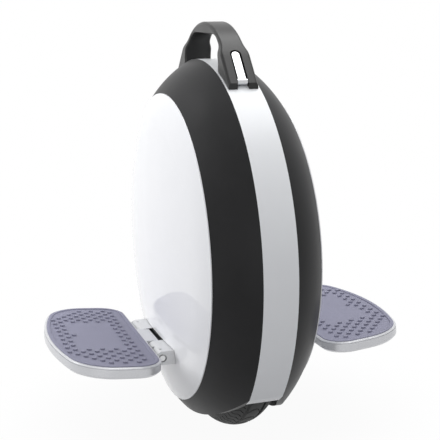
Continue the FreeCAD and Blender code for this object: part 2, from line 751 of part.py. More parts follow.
def make_bridge_screws():
    body = new_body("bridge_screws", at_level(size.bridge_height + size.bridge_wall), several=True)
    heads = bridge_screw_circles(size.bridge_head_radius)
    pad(body, new_sketch(body, "XY_Plane", [], None, heads), size.bridge_head_height)
    shanks = bridge_screw_circles(size.bridge_screw_radius)
    pad(body, new_sketch(body, "XY_Plane", [], None, shanks), size.bridge_wall + size.bridge_screw_depth,
        backward=True)


def make_anchor():
    # strap against the inside of the band, on a block that stands on the bridge
    body = new_body("handle_anchor", at_body)
    outer = size.body_radius - size.band_wall
    inner = outer - size.anchor_wall
    span, foot = size.anchor_span, size.anchor_foot_half
    foot_level = size.bridge_height + size.bridge_wall - size.body_height
    outline = [
        (span, leg(outer, span), -outer), (-span, leg(outer, span)),
        (-span, leg(inner, span), inner), (-foot, leg(inner, foot)),
        (-foot, foot_level), (foot, foot_level),
        (foot, leg(inner, foot), inner), (span, leg(inner, span)),
    ]
    pad(body, new_sketch(body, "XZ_Plane", [outline]), 2 * size.anchor_half, both=True)
    depth = size.overrun + size.anchor_wall + size.overrun
    for share in (-1, 1):
        angle = 90 - size.handle_tilt.value + share * size.handle_screw_angle.value
        radial_cut(body, angle, size.handle_screw_radius, outer + size.overrun, depth)


# Carry handle, drawn upright about the body's centre and leaned forward by its tilt
tilt = math.radians(size.handle_tilt.value)
handle_place = Place(z=size.body_height, turned=Rotation(Vector(0, 1, 0), size.handle_tilt.value))
slope_length = (1 + size.handle_slope.value ** 2) ** 0.5
face_cos = Size(1 / slope_length, "(1 / sqrt(1 + Sizes.handle_slope ^ 2))")
face_sin = size.handle_slope * face_cos
face_turn = Rotation(Vector(0, 1, 0), math.degrees(math.atan(size.handle_slope.value)))
seat_radius = size.body_radius + size.handle_rest
handle_crown = size.body_radius + size.handle_rise
gap_crown = handle_crown - size.crown_wall
# the legs' outer faces run straight from the feet to where the crown's round begins
foot = size.gap_half + size.leg_wall
foot_low = leg(seat_radius, foot)
foot_z = foot_low + size.foot_rise
face_share = size.handle_slope * face_sin + face_cos - 1
crown_round = (foot_z + size.handle_slope * foot - handle_crown) / face_share
tangent_x = crown_round * face_sin
tangent_z = handle_crown - crown_round + crown_round * face_cos
barrel_x = foot - size.barrel_place * face_cos - size.barrel_radius * face_sin
barrel_z = foot_z + size.barrel_place * face_sin - size.barrel_radius * face_cos


def inlay_outline(half, length, start):
    # long slot with a round upper end
    return [(start, -half), (start, half), (half - length, half, -half), (-length, 0, -half),
            (half - length, -half)]


def make_handle():
    body = new_body("carry_handle", handle_place)
    gap, corner = size.gap_half, size.gap_corner
    gap_low = leg(seat_radius, gap)
    gap_side = gap_crown - corner
    outline = [
        (foot, foot_z), (tangent_x, tangent_z, -crown_round), (-tangent_x, tangent_z),
        (-foot, foot_z), (-foot, foot_low, seat_radius), (-gap, gap_low), (-gap, gap_side, corner),
        (corner - gap, gap_crown), (gap - corner, gap_crown, corner), (gap, gap_side),
        (gap, gap_low, seat_radius), (foot, foot_low),
    ]
    widest = size.handle_foot_half + size.overrun
    pad(body, new_sketch(body, "XZ_Plane", [outline]), 2 * widest, both=True)
    # the legs narrow in an S above their forks
    bottom, top = foot_low - size.overrun, handle_crown + size.overrun
    far = widest + size.overrun
    wide, narrow, bend = size.handle_foot_half, size.handle_crown_half, size.flare_round
    middle = size.body_radius + size.flare_rise
    reach = (bend * (wide - narrow) - (wide - narrow) * (wide - narrow) / 4).root()
    tapers = [[(side * wide, bottom), (side * wide, middle - reach, -side * bend),
               (side * (wide + narrow) / 2, middle, side * bend), (side * narrow, middle + reach),
               (side * narrow, top), (side * far, top), (side * far, bottom)] for side in (-1, 1)]
    taper = pocket(body, new_sketch(body, "YZ_Plane", tapers))

    def along_the_arch(inside):
        def wanted(edge):
            middle = edge.valueAt((edge.FirstParameter + edge.LastParameter) / 2)
            on_side = abs(middle.y) > size.handle_crown_half.value - size.side_play.value
            clear = math.hypot(middle.x, middle.z) > seat_radius.value + 2 * size.handle_edge.value
            in_gap = abs(middle.x) < size.gap_half.value + size.side_play.value \
                and middle.z < gap_crown.value + size.side_play.value
            runs_along = edge.BoundBox.YLength < size.handle_foot_half.value
            level = edge.BoundBox.ZLength < size.side_play.value
            across = level and middle.z < gap_crown.value - size.crown_wall.value / 2
            return on_side and clear and runs_along and not across and in_gap == inside
        return wanted

    outside = dress(body, "Fillet", "Radius", taper, edges_where(taper, along_the_arch(False)),
                    size.handle_edge)
    dress(body, "Fillet", "Radius", outside, edges_where(outside, along_the_arch(True)), size.gap_edge)
    face = Place(foot, 0, foot_z, face_turn)
    slot = new_sketch(body, "XY_Plane",
                      [inlay_outline(size.inlay_half, size.inlay_length, size.overrun)], face)
    slot = pocket(body, slot, size.inlay_depth)
    fork = rectangle(-size.fork_length, size.overrun, -size.inlay_half, size.inlay_half)
    fork = pocket(body, new_sketch(body, "XY_Plane", [fork], face), size.body_radius)
    hole = new_sketch(body, "XZ_Plane", [], None, [(barrel_x, barrel_z, size.handle_pin_radius)])
    hole = pocket(body, hole, 2 * size.handle_pin_half)
    hole.SideType = "Symmetric"
    bite = out_along(size.handle_screw_angle.value, size.body_radius)
    screw = new_sketch(body, "XY_Plane", [], bite, [(0, 0, size.handle_screw_radius)])
    screw = pocket(body, screw, size.handle_screw_bite, backward=True)
    mirror = body.newObject("PartDesign::Mirrored", "carry_handle_mirror")
    mirror.Originals = [slot, fork, hole, screw]
    mirror.MirrorPlane = (plane_of(body, "YZ_Plane"), [""])
    body.Tip = mirror


def leg_end(share):
    # on the outer face of a leg at its end: local X down along the leg, Z out of it
    half_turn = Rotation(Vector(0, 0, 1), 0 if share > 0 else 180)
    turned = handle_place.turned.multiply(half_turn).multiply(face_turn)
    return Place(math.cos(tilt) * (share * foot) + math.sin(tilt) * foot_z, 0,
                 size.body_height + math.cos(tilt) * foot_z - math.sin(tilt) * (share * foot), turned)


def make_link(name, share):
    # chrome inlay that fills the slot of a leg and ends in a barrel between its knuckles
    body = new_body(f"{name}_handle_link", leg_end(share))
    half = size.inlay_half - size.inlay_gap
    outline = inlay_outline(half, size.inlay_length - size.inlay_gap, -size.barrel_place)
    strip = pad(body, new_sketch(body, "XY_Plane", [outline], at_level(-size.inlay_depth)), size.inlay_wall)
    top = size.inlay_wall - size.inlay_depth

    def round_the_top(edge):
        box = edge.BoundBox
        return box.ZMin > top.value - size.side_play.value and box.XLength > size.side_play.value

    dress(body, "Chamfer", "Size", strip, edges_where(strip, round_the_top), size.inlay_bevel)
    barrel = [(-size.barrel_place, -size.barrel_radius, size.barrel_radius)]
    pad(body, new_sketch(body, "XZ_Plane", [], None, barrel), 2 * half, both=True)
    hole = [(-size.barrel_place, -size.barrel_radius, size.handle_pin_radius)]
    pocket(body, new_sketch(body, "XZ_Plane", [], None, hole))


def make_handle_fixings():
    pins = new_body("handle_pins", handle_place, several=True)
    places = [(share * barrel_x, barrel_z, size.handle_pin_radius) for share in (-1, 1)]
    pad(pins, new_sketch(pins, "XZ_Plane", [], None, places), 2 * size.handle_pin_half, both=True)
    screws = new_body("handle_screws", handle_place, several=True)
    inner = size.body_radius - size.band_wall - size.anchor_wall
    head_top = leg(inner, size.handle_head_radius)
    for share in (-1, 1):
        place = out_along(share * size.handle_screw_angle.value, head_top)
        head = new_sketch(screws, "XY_Plane", [], place, [(0, 0, size.handle_head_radius)])
        pad(screws, head, size.handle_head_height, backward=True)
        shank = new_sketch(screws, "XY_Plane", [], place, [(0, 0, size.handle_screw_radius)])
        pad(screws, shank, size.body_radius + size.handle_screw_bite - head_top)


# Pedals: bracket on the hanger plate, pin, and the folding tray with its pad
def make_bracket(side_name, side):
    body = new_body(f"{side_name}_hinge_bracket", at_pin)
    lug, pin = size.lug_radius, size.pin_place
    outline = [
        (side * hanger_back, -lug), (side * pin, -lug, side * lug), (side * (pin + lug), 0, side * lug),
        (side * pin, lug), (side * hanger_back, lug),
    ]
    outline = [corner[:2] + (-corner[2],) if len(corner) == 3 else corner for corner in outline]
    pad(body, new_sketch(body, "YZ_Plane", [outline]), 2 * size.bracket_half, both=True)
    low = size.flange_bottom - size.pin_height
    high = size.flange_top - size.pin_height
    flange = rectangle(-size.bracket_half, size.bracket_half, low, high)
    pad(body, side_sketch(body, side, hanger_back, [flange]), size.flange_wall, backward=side > 0)
    bolts = [(x, z - size.pin_height, size.bolt_radius) for x, z in bolt_places()]
    pocket(body, new_sketch(body, "XZ_Plane", [], None, bolts))
    back = pin - size.tongue_back - size.heel_gap
    half = size.tongue_half + size.tongue_side_gap
    far = pin + lug + size.overrun
    gap = rectangle(-half, half, side * back, side * far)
    pocket(body, new_sketch(body, "XY_Plane", [gap]))
    pocket(body, new_sketch(body, "YZ_Plane", [], None, [(side * pin, 0, size.pin_radius)]))
    for share in (-1, 1):
        end = at_level(share * size.bracket_half)
        sketch = new_sketch(body, "YZ_Plane", [], end, [(side * pin, 0, size.counterbore_radius)])
        pocket(body, sketch, size.counterbore_depth, backward=share < 0)
    top = at_level(lug)
    screws = [(share * size.set_screw_place, side * pin, size.set_screw_radius) for share in (-1, 1)]
    pocket(body, new_sketch(body, "XY_Plane", [], top, screws), lug)
    notch = [(size.notch_place, side * (pin + size.notch_offset), size.notch_radius)]
    pocket(body, new_sketch(body, "XY_Plane", [], top, notch), size.notch_depth)


def make_hinge_pin(side_name, side):
    body = new_body(f"{side_name}_hinge_pin", at_pin)
    circle = [(side * size.pin_place, 0, size.pin_radius)]
    pad(body, new_sketch(body, "YZ_Plane", [], None, circle), 2 * size.pin_half, both=True)


def make_bracket_fixings():
    screws = new_body("pin_set_screws", at_level(size.pin_height + size.pin_radius), several=True)
    places = [(share * size.set_screw_place, side * size.pin_place, size.set_screw_radius)
              for share in (-1, 1) for side in (-1, 1)]
    pad(screws, new_sketch(screws, "XY_Plane", [], None, places),
        size.lug_radius - size.pin_radius - size.set_screw_recess)
    bolts = new_body("bracket_bolts", several=True)
    for side in sides.values():
        side_screws(bolts, side, hanger_back + size.flange_wall, bolt_places(),
                    (size.bolt_head_radius, size.bolt_head_height),
                    (size.bolt_radius, size.flange_wall + size.hanger_wall))


def tread_outline(side, grow, inner_grow):
    # straight inner edge, round corners and a bowed outer edge, measured out from the hinge pin
    half = size.pad_half + grow
    start = size.pad_start - inner_grow
    end = size.pad_end + grow
    inner = size.pad_inner_corner + grow
    outer = size.pad_outer_corner + grow
    bow = size.pad_outer_radius + grow
    bow_centre = end - bow
    rise = leg(bow - outer, half - outer)
    joint_x = bow * (half - outer) / (bow - outer)
    joint_y = bow_centre + bow * rise / (bow - outer)
    side_end = bow_centre + rise
    points = [
        (inner - half, start), (half - inner, start, -inner), (half, start + inner),
        (half, side_end, -outer), (joint_x, joint_y, -bow), (-joint_x, joint_y, -outer),
        (-half, side_end), (-half, start + inner, -inner),
    ]
    return [(point[0], side * point[1]) + tuple(side * radius for radius in point[2:])
            for point in points]


def pedal_body(name, side):
    # at the hinge pin, with the tray's plane tilted up towards its outer edge
    turned = Rotation(Vector(1, 0, 0), side * size.pedal_tilt.value)
    return new_body(name, Place(0, side * size.pin_place, size.pin_height, turned))


tray_top = size.tread_height - size.pad_wall + size.pad_recess
pad_foot = tray_top - size.pad_recess
no_growth = 0 * size.tray_rim


def make_tray(side_name, side):
    body = pedal_body(f"{side_name}_pedal_tray", side)
    outline = tread_outline(side, size.tray_rim, size.tray_inner_rim)
    base = pad(body, new_sketch(body, "XY_Plane", [outline], at_level(tray_top)), size.tray_depth,
               backward=True)
    bottom = tray_top - size.tray_depth

    def on_level(level):
        return lambda edge: abs(edge.BoundBox.ZMin - level.value) < size.running_gap.value \
            and abs(edge.BoundBox.ZMax - level.value) < size.running_gap.value

    lower = dress(body, "Chamfer", "Size", base, edges_where(base, on_level(bottom)), size.tray_chamfer)
    dress(body, "Chamfer", "Size", lower, edges_where(lower, on_level(tray_top)), size.tray_bevel)
    # a fine groove round the side, under the bevel
    line = size.rim_line_depth
    lines = [tread_outline(side, size.tray_rim + grow, size.tray_inner_rim + grow) for grow in (line, -line)]
    pocket(body, new_sketch(body, "XY_Plane", lines, at_level(tray_top - size.rim_line_drop)),
           size.rim_line_height)
    seat = tread_outline(side, no_growth, no_growth)
    pocket(body, new_sketch(body, "XY_Plane", [seat], at_level(tray_top)), size.pad_recess)
    # hollows under the tray, between ribs
    middle = (size.tray_pocket_start + size.pad_end) / 2
    rib = size.tray_rib / 2
    inner, outer = size.tray_pocket_bar / 2, size.tray_pocket_wide
    short = outer - (outer - inner) / 4
    hollows = []
    for share in (-1, 1):
        hollows.append(rectangle(share * inner, share * outer, side * size.tray_pocket_start,
                                 side * (middle - rib)))
        hollows.append([(share * inner, side * (middle + rib)), (share * outer, side * (middle + rib)),
                        (share * short, side * (size.pad_end - (outer - inner) / 4)),
                        (share * inner, side * (size.pad_end - size.tray_rib))])
    sketch = new_sketch(body, "XY_Plane", hollows, at_level(bottom))
    pocket(body, sketch, size.tray_pocket_depth, backward=True)
    # tongue from the tray round the pin, with a heel that stops the pedal at the bottom of its swing
    lug, back = size.lug_radius, size.tongue_back
    inside = size.pad_start
    tongue = [
        (side * inside, lug), (-side * leg(back, lug), lug, side * back), (-side * back, 0),
        (-side * size.tongue_heel, -lug), (0, -lug), (side * inside, bottom + size.tray_chamfer),
    ]
    pad(body, new_sketch(body, "YZ_Plane", [tongue]), 2 * size.tongue_half, both=True)
    bore = size.pin_radius + size.running_gap
    pocket(body, new_sketch(body, "YZ_Plane", [], None, [(0, 0, bore)]))


def stud_circles(side):
    # staggered columns along the pad, with its middle left bare
    circles = []
    for column, first, last in stud_runs:
        out = size.pad_start + size.stud_inset + column * size.stud_column
        for count in range(first, last + 1, 2):
            circles += [(share * count * size.stud_half_pitch, side * out, size.stud_radius)
                        for share in ((-1, 1) if count else (1,))]
    return circles


def make_pad(side_name, side):
    # rubber tread with a raised lip round its edge and flat-topped studs inside it
    body = pedal_body(f"{side_name}_pedal_pad", side)
    whole = tread_outline(side, no_growth, no_growth)
    inside = tread_outline(side, -size.pad_lip_width, -size.pad_lip_width)
    top = at_level(size.tread_height)
    pad(body, new_sketch(body, "XY_Plane", [whole], at_level(pad_foot)), size.pad_wall)
    pad(body, new_sketch(body, "XY_Plane", [whole, inside], top), size.pad_lip_height)
    pad(body, new_sketch(body, "XY_Plane", [], top, stud_circles(side)), size.stud_height)


# Power: batteries, board and the fittings on the rear of the band
battery_depth = size.panel_seat + size.battery_face - hanger_back


def make_battery(side_name, side):
    body = new_body(f"{side_name}_battery")
    outline = rectangle(-size.battery_half, size.battery_half, size.battery_bottom, size.battery_top)
    block = pad(body, side_sketch(body, side, hanger_back, [outline]), battery_depth, backward=side > 0)
    across = edges_where(block, lambda edge: edge.BoundBox.YLength > battery_depth.value / 2)
    dress(body, "Fillet", "Radius", block, across, size.battery_corner)


def make_straps():
    # a band over each battery, with a flange above and below on the hanger plate
    body = new_body("battery_straps", several=True)
    near, wall, flange = hanger_back, size.strap_wall, size.strap_flange
    far = near + battery_depth
    low, high = size.battery_bottom, size.battery_top
    profile = [(near, low - flange), (near, low), (far, low), (far, high), (near, high),
               (near, high + flange), (near + wall, high + flange), (near + wall, high + wall),
               (far + wall, high + wall), (far + wall, low - wall), (near + wall, low - wall),
               (near + wall, low - flange)]
    outlines = [[(side * y, z) for y, z in profile] for side in sides.values()]
    pad(body, new_sketch(body, "YZ_Plane", outlines), 2 * size.strap_half, both=True)


def make_board():
    # heat sink on the right liner behind the hanger plate, with the board on it
    side = sides["right"]
    rear = -size.board_front - size.board_length
    area = rectangle(rear, -size.board_front, size.board_bottom, size.board_bottom + size.board_height)
    sink = new_body("heat_sink")
    base_start = hanger_face + size.sink_depth - size.sink_base
    pad(sink, side_sketch(sink, side, base_start, [area]), size.sink_base)
    step = (size.board_height - size.fin_wall) / (fin_count - 1)
    fins = [rectangle(rear, -size.board_front, size.board_bottom + i * step,
                      size.board_bottom + i * step + size.fin_wall) for i in range(fin_count)]
    pad(sink, side_sketch(sink, side, hanger_face, fins), size.sink_depth - size.sink_base)
    board = new_body("control_board")
    board_start = hanger_face + size.sink_depth
    pad(board, side_sketch(board, side, board_start, [area]), size.board_wall)
    cans = new_body("board_capacitors", several=True)
    inset = size.capacitor_inset
    places = [(x, z, size.capacitor_radius) for x in (-size.board_front - inset, rear + inset)
              for z in (size.board_bottom + inset, size.board_bottom + size.board_height - inset)]
    pad(cans, side_sketch(cans, side, board_start + size.board_wall, [], places), size.capacitor_height)


bezel_foot = size.body_radius - size.bezel_seat
bezel_top = bezel_foot + size.bezel_wall


def make_switch():
    body = new_body("power_switch", radial_place(size.switch_angle))
    bore = size.button_radius + size.button_gap
    floor = bezel_top - size.button_floor
    low = bezel_foot - size.switch_depth
    outline = [
        (0, low), (size.switch_radius, low), (size.switch_radius, bezel_foot),
        (size.switch_flange, bezel_foot), (size.switch_flange, bezel_top), (bore, bezel_top),
        (bore, floor), (0, floor),
    ]
    turn(body, new_sketch(body, "XZ_Plane", [outline]))
    button = new_body("power_button", radial_place(size.switch_angle))
    foot = floor + size.button_travel + size.side_play
    outline = rectangle(0, size.button_radius, foot, bezel_top + size.button_proud)
    cap = turn(button, new_sketch(button, "XZ_Plane", [outline]))
    high = (bezel_top + size.button_proud).value
    rim = edges_where(cap, lambda edge: edge.BoundBox.ZMin > high - size.side_play.value)
    dress(button, "Fillet", "Radius", cap, rim, size.side_play)


def make_socket():
    body = new_body("charge_socket", radial_place(size.socket_angle))
    plate = rectangle(-size.bezel_low, size.bezel_high, -size.bezel_half, size.bezel_half)
    pad(body, new_sketch(body, "XY_Plane", [plate], at_level(bezel_foot)), size.bezel_wall)
    barrel = [(0, 0, size.socket_radius)]
    pad(body, new_sketch(body, "XY_Plane", [], at_level(bezel_foot), barrel), size.socket_depth,
        backward=True)
    bore = new_sketch(body, "XY_Plane", [], at_level(bezel_top), [(0, 0, size.socket_bore)])
    pocket(body, bore, size.socket_bore_depth)
    floor = bezel_top - size.socket_bore_depth
    spread = size.contact_circle
    contacts = [(spread, 0, size.contact_radius), (-spread / 2, spread, size.contact_radius),
                (-spread / 2, -spread, size.contact_radius)]
    pins = new_body("charge_contacts", radial_place(size.socket_angle), several=True)
    pad(pins, new_sketch(pins, "XY_Plane", [], at_level(floor), contacts), size.contact_height)
    # two ears that carry the cap's pin
    knuckle = size.cap_knuckle_radius
    start = size.cap_knuckle_half + size.cap_ear_gap
    end = start + size.cap_ear_wall
    place = size.cap_hinge_place
    ears = [rectangle(place - knuckle, place + knuckle, share * start, share * end) for share in (-1, 1)]
    pad(body, new_sketch(body, "XY_Plane", ears, at_level(bezel_top)), size.cap_hinge_level + knuckle)
    level = bezel_top + size.cap_hinge_level
    pocket(body, new_sketch(body, "XZ_Plane", [], None, [(place, level, size.cap_pin_radius)]))
    cap = new_body("charge_cap", radial_place(size.socket_angle))
    lid = [(0, 0, size.cap_radius)]
    pad(cap, new_sketch(cap, "XY_Plane", [], at_level(bezel_top + size.cap_gap), lid), size.cap_wall)
    low = bezel_top + size.cap_gap
    web = rectangle(size.cap_radius - knuckle, place, low + size.cap_gap, low + size.cap_wall)
    pad(cap, new_sketch(cap, "XZ_Plane", [web]), 2 * size.cap_knuckle_half, both=True)
    pad(cap, new_sketch(cap, "XZ_Plane", [], None, [(place, level, knuckle)]),
        2 * size.cap_knuckle_half, both=True)
    bore = size.cap_pin_radius + size.running_gap
    pocket(cap, new_sketch(cap, "XZ_Plane", [], None, [(place, level, bore)]))
    pin = new_body("charge_cap_pin", radial_place(size.socket_angle))
    pad(pin, new_sketch(pin, "XZ_Plane", [], None, [(place, level, size.cap_pin_radius)]), 2 * end,
        both=True)


make_band()
make_tyre()
make_tube()
make_rim()
make_valve()
make_magnets()
make_cover_screws()
make_axle()
make_stator()
make_windings()
make_axle_hardware()
make_bridge()
make_bridge_screws()
make_anchor()
make_handle()
make_link("front", 1)
make_link("rear", -1)
make_handle_fixings()
make_bracket_fixings()
make_straps()
make_board()
make_switch()
make_socket()
for side_name, side in sides.items():
    make_ring(side_name, side)
    make_panel(side_name, side)
    make_cover(side_name, side)
    make_bearing(side_name, side)
    make_liner(side_name, side)
    make_hanger(side_name, side)
    make_bracket(side_name, side)
    make_hinge_pin(side_name, side)
    make_tray(side_name, side)
    make_pad(side_name, side)
    make_battery(side_name, side)

doc.recompute()
for item in doc.Objects:
    if "Invalid" in item.State or "Error" in item.State:
        raise RuntimeError(f"{item.Label} did not build: {item.State}")
for item in nodes:
    if item.Shape.isNull() or not item.Shape.isValid() or not item.Shape.Solids:
        raise RuntimeError(f"{item.Label} has no valid solid")

os.makedirs("parts", exist_ok=True)
for item in nodes:
    item.Shape.exportStep(f"parts/{item.Label}.step")
    solids = len(item.Shape.Solids)
    print(f"{item.Label}: {solids} solid{'s' if solids > 1 else ''}, {item.Shape.Volume / 1000:.1f} cm3")
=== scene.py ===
# Electric unicycle on a pale studio floor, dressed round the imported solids
import bpy
import bmesh
import math
from mathutils import Matrix, Vector


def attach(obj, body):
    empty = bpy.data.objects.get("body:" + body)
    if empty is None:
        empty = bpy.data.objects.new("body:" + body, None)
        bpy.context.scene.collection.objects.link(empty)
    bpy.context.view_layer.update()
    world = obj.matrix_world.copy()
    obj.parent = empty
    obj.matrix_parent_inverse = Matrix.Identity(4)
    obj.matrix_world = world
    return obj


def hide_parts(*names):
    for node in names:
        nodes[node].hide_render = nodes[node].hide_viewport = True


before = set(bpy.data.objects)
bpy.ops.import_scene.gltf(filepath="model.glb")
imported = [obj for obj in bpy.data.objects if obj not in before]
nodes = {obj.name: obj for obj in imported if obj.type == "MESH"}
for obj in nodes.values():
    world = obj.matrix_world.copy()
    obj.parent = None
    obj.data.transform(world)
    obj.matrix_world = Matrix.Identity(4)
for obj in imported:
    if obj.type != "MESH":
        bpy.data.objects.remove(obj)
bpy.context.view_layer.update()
scene = bpy.context.scene
scene.view_settings.view_transform = "Standard"
mm = 0.001
print("frame loaded,", len(nodes), "solids")


# Small helpers for meshes
def newPiece(name, verts, faces, body, slot, *standsFor):
    # a mesh that rides on a body in place of the named solids
    mesh = bpy.data.meshes.new(name)
    mesh.from_pydata([tuple(v) for v in verts], [], faces)
    mesh.validate()
    bm = bmesh.new()
    bm.from_mesh(mesh)
    bmesh.ops.recalc_face_normals(bm, faces=bm.faces)
    bm.to_mesh(mesh)
    bm.free()
    piece = bpy.data.objects.new(name, mesh)
    scene.collection.objects.link(piece)
    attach(piece, body)
    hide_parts(*standsFor)
    return piece


def smoothBy(piece, degrees):
    # soft across gentle bends, crisp at real edges
    limit = math.radians(degrees)
    bm = bmesh.new()
    bm.from_mesh(piece.data)
    for face in bm.faces:
        face.smooth = True
    for edge in bm.edges:
        edge.smooth = not edge.is_manifold or edge.calc_face_angle(0) < limit
    bm.to_mesh(piece.data)
    bm.free()


def arcPoints(centre, radius, start, end, count):
    # points on a round corner, angles in degrees
    turns = [math.radians(start + (end - start) * i / count) for i in range(count + 1)]
    return [(centre[0] + radius * math.cos(a), centre[1] + radius * math.sin(a)) for a in turns]


# Materials
def linear(code):
    # sRGB hex to linear red, green, blue and alpha
    parts = [int(code[i:i + 2], 16) / 255 for i in (1, 3, 5)]
    return tuple(c / 12.92 if c <= 0.04045 else ((c + 0.055) / 1.055) ** 2.4
                 for c in parts) + (1.0,)


def put(tree, kind, links=(), values=(), **settings):
    # one node with its settings, its plain values and what feeds it
    node = tree.nodes.new("ShaderNode" + kind)
    for key, value in settings.items():
        setattr(node, key, value)
    for socket, value in values:
        node.inputs[socket].default_value = value
    for socket, source in links:
        tree.links.new(source, node.inputs[socket])
    return node


# what all finishes share: the noise's detail, and the levels of it between which a finish changes
pattern = {"driftDetail": 3.0, "driftRoughness": 0.55, "grainDetail": 2.0, "grainRoughness": 0.6,
           "colourBand": (0.35, 0.65), "roughBand": (0.3, 0.7)}
# colour sockets of a Mix node by place, because its number sockets have the same names
mixSocket = {"share": 0, "under": 6, "over": 7, "result": 2}


def paintedShadeStrip(tree, place, look, painted):
    # painted shade: the strip between the hinge's ears is coloured dark, standing in for the shade
    # that falls in the gap behind the tongue
    across = put(tree, "SeparateXYZ", [("Vector", place)])
    width = put(tree, "Math", [(0, across.outputs["X"])], operation="ABSOLUTE")
    inPaintedShade = put(tree, "Math", [(0, width.outputs[0])], [(1, look["shadeStripHalfMm"] * mm)],
               operation="LESS_THAN")
    mixed = put(tree, "Mix", [(mixSocket["share"], inPaintedShade.outputs[0]), (mixSocket["under"], painted)],
                [(mixSocket["over"], linear(look["paintedShadeColour"]))], data_type="RGBA")
    return mixed.outputs[mixSocket["result"]]


def newMaterial(name, look):
    # a shader whose colour and roughness drift a little, with a fine relief where it has a grain
    material = bpy.data.materials.new(name)
    material.use_nodes = True
    tree = material.node_tree
    tree.nodes.clear()
    place = put(tree, "TexCoord").outputs["Object"]
    drift = put(tree, "TexNoise", [("Vector", place)],
                [("Scale", 1 / (look["driftMm"] * mm)), ("Detail", pattern["driftDetail"]),
                 ("Roughness", pattern["driftRoughness"])]).outputs["Fac"]
    colour = put(tree, "ValToRGB", [("Fac", drift)])
    stops = zip(colour.color_ramp.elements, pattern["colourBand"], look["colours"])
    for stop, level, code in stops:
        stop.position, stop.color = level, linear(code)
    painted = colour.outputs["Color"]
    # painted shade: a dark strip between the hinge's ears, where the parts shade each other
    if "shadeStripHalfMm" in look:
        painted = paintedShadeStrip(tree, place, look, painted)
    rough = put(tree, "MapRange", [("Value", drift)],
                [("From Min", pattern["roughBand"][0]), ("From Max", pattern["roughBand"][1]),
                 ("To Min", look["roughness"][0]), ("To Max", look["roughness"][1])])
    links = [("Base Color", painted), ("Roughness", rough.outputs["Result"])]
    if "grainMm" in look:
        grain = put(tree, "TexNoise", [("Vector", place)],
                    [("Scale", 1 / (look["grainMm"] * mm)), ("Detail", pattern["grainDetail"]),
                     ("Roughness", pattern["grainRoughness"])])
        relief = put(tree, "Bump", [("Height", grain.outputs["Fac"])],
                     [("Strength", look["relief"]), ("Distance", look["reliefMm"] * mm)])
        links.append(("Normal", relief.outputs["Normal"]))
    shader = put(tree, "BsdfPrincipled", links, look["shader"].items())
    put(tree, "OutputMaterial", [("Surface", shader.outputs["BSDF"])])
    return material


